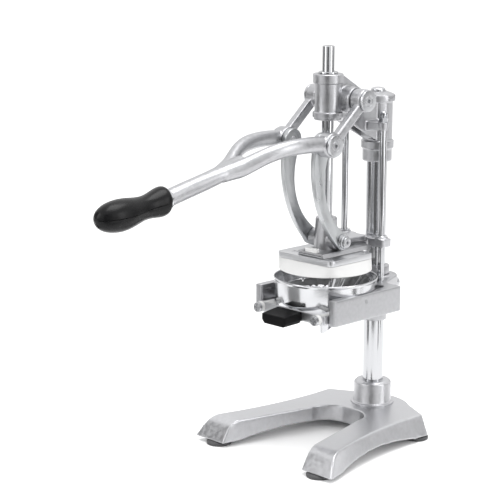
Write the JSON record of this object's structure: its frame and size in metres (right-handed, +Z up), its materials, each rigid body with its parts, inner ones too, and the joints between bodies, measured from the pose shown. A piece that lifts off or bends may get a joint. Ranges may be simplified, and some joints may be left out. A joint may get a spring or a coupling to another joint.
{
  "type": "lever citrus juice press",
  "caption": "Free-standing lever citrus press: splayed cast base, steel column, forked handle and bowed links that push a guided ram down into a funnel cup.",
  "frame": {"origin": "on the floor plane under the feet, at the middle of the press's bounding box; the ram's axis stands 111.5 mm behind it", "axes": "+Z up along the column; the handle points to -Y and the column stands at +Y; +X is the press's right-hand side seen from the handle"},
  "size_m": [0.2258, 0.486, 0.4787],
  "materials": {
    "cast_aluminium": "satin cast and tumbled",
    "link_steel": "satin",
    "polished_steel": "polished",
    "bolt_steel": "turned and plated",
    "spun_stainless": "spun and polished",
    "plate_steel": "brushed",
    "black_plastic": "smooth semi-gloss",
    "white_plastic": "smooth matte",
    "foot_rubber": "matte"
  },
  "bodies": {
    "frame": {"base": "cast_aluminium", "foot_front_left": "foot_rubber", "foot_front_right": "foot_rubber", "foot_rear_left": "foot_rubber", "foot_rear_right": "foot_rubber", "foot_screws": "bolt_steel", "column": "polished_steel", "column_foot_screw": "bolt_steel", "column_cap_screw": "bolt_steel", "column_collar": "polished_steel", "top_arm": "cast_aluminium", "ram_bush": "polished_steel", "pivot_bolt_left": "bolt_steel", "pivot_bolt_right": "bolt_steel", "guide_rod_left": "polished_steel", "guide_rod_right": "polished_steel", "acorn_nut_left": "bolt_steel", "acorn_nut_right": "bolt_steel", "rod_lower_nuts": "bolt_steel", "bracket": "cast_aluminium", "bracket_clamp_screw": "bolt_steel", "cup": "spun_stainless", "strainer": "spun_stainless"},
    "lever": {"lever": "cast_aluminium", "grip": "black_plastic", "grip_ferrule": "polished_steel", "crank_bolt_left": "bolt_steel", "crank_bolt_right": "bolt_steel"},
    "links": {"link_left": "link_steel", "link_right": "link_steel", "eye_bolt_left": "bolt_steel", "eye_bolt_right": "bolt_steel", "eye_washer_left": "bolt_steel", "eye_washer_right": "bolt_steel"},
    "ram": {"ram_rod": "polished_steel", "ram_block": "cast_aluminium", "slide_plate": "plate_steel", "lock_key": "white_plastic", "press_plate": "plate_steel", "press_block": "white_plastic", "plate_screws": "bolt_steel", "yoke": "cast_aluminium", "yoke_bush_left": "polished_steel", "yoke_bush_right": "polished_steel"},
    "front_bar": {"front_bar": "plate_steel", "front_knob": "black_plastic", "knob_screws": "bolt_steel", "nylon_sleeve_left": "white_plastic", "nylon_sleeve_right": "white_plastic", "front_screw_left": "bolt_steel", "front_screw_right": "bolt_steel"}
  },
  "joints": [
    {"name": "lever_turn", "type": "hinge", "parent": "frame", "child": "lever", "pos_m": [0, 0.1315, 0.4165], "axis": [1, 0, 0], "range_deg": [-80, 12]},
    {"name": "ram_slide", "type": "slide", "parent": "frame", "child": "ram", "axis": [0, 0, 1], "range_m": [-0.014, 0.0925]},
    {"name": "link_turn", "type": "hinge", "parent": "lever", "child": "links", "pos_m": [0, 0.0765, 0.37], "axis": [1, 0, 0], "range_deg": [-13, 86]},
    {"name": "front_bar_slide", "type": "slide", "parent": "frame", "child": "front_bar", "axis": [0, -1, 0], "range_m": [0, 0.028]}
  ],
  "couplings": [
    {"joint": "ram_slide", "follows": "lever_turn", "m_per_rad": -0.0659},
    {"joint": "link_turn", "follows": "lever_turn", "ratio": -1.07}
  ]
}
